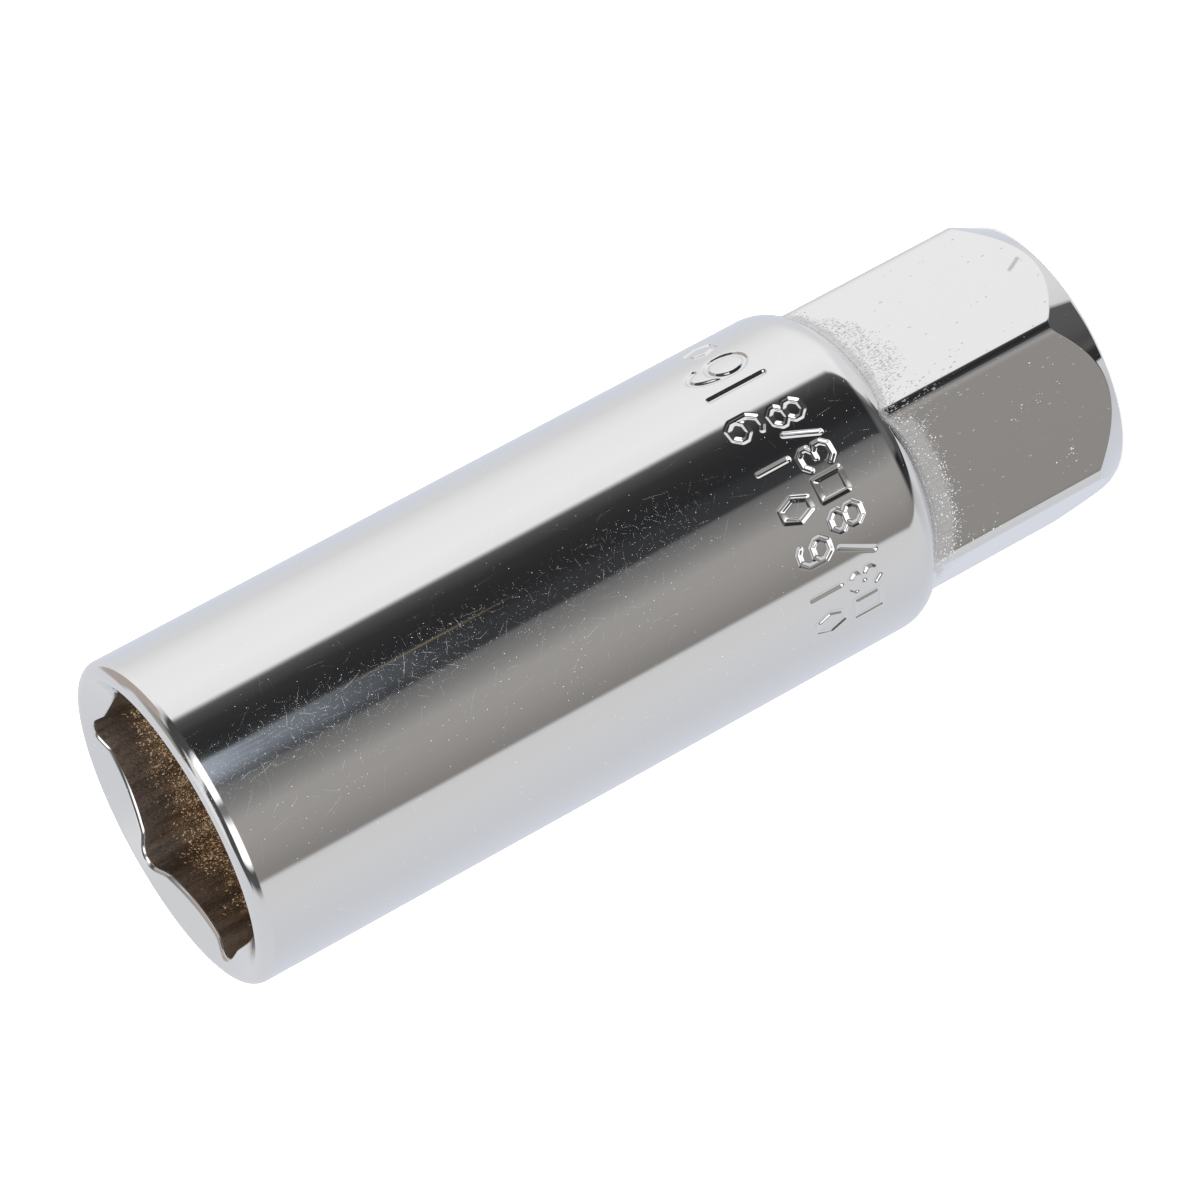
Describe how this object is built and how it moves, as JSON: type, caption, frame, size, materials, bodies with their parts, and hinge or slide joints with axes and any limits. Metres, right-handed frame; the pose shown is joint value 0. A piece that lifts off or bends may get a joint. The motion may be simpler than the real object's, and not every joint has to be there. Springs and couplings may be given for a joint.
{
  "type": "spark plug socket",
  "caption": "Deep tubular socket with a countersunk lobed hexagonal mouth, a rubber grip inside, a rounded shoulder and a chamfered hexagonal end with a square drive hole.",
  "frame": {"origin": "centre of the drive end's round face, which the socket stands on", "axes": "+Z along the socket's axis towards the mouth for the plug; the corners of both hexagons lie towards +Y and -Y, and a flat of each faces +X and -X, as do the sides of the square hole"},
  "size_m": [0.022, 0.022, 0.0652],
  "materials": {
    "chrome_plate": "bright chrome plate outside with fine handling scratches, dull and thin inside the mouth",
    "grip_rubber": "matt black rubber"
  },
  "bodies": {
    "root": {"socket_body": "chrome_plate", "plug_grip": "grip_rubber"}
  },
  "joints": []
}
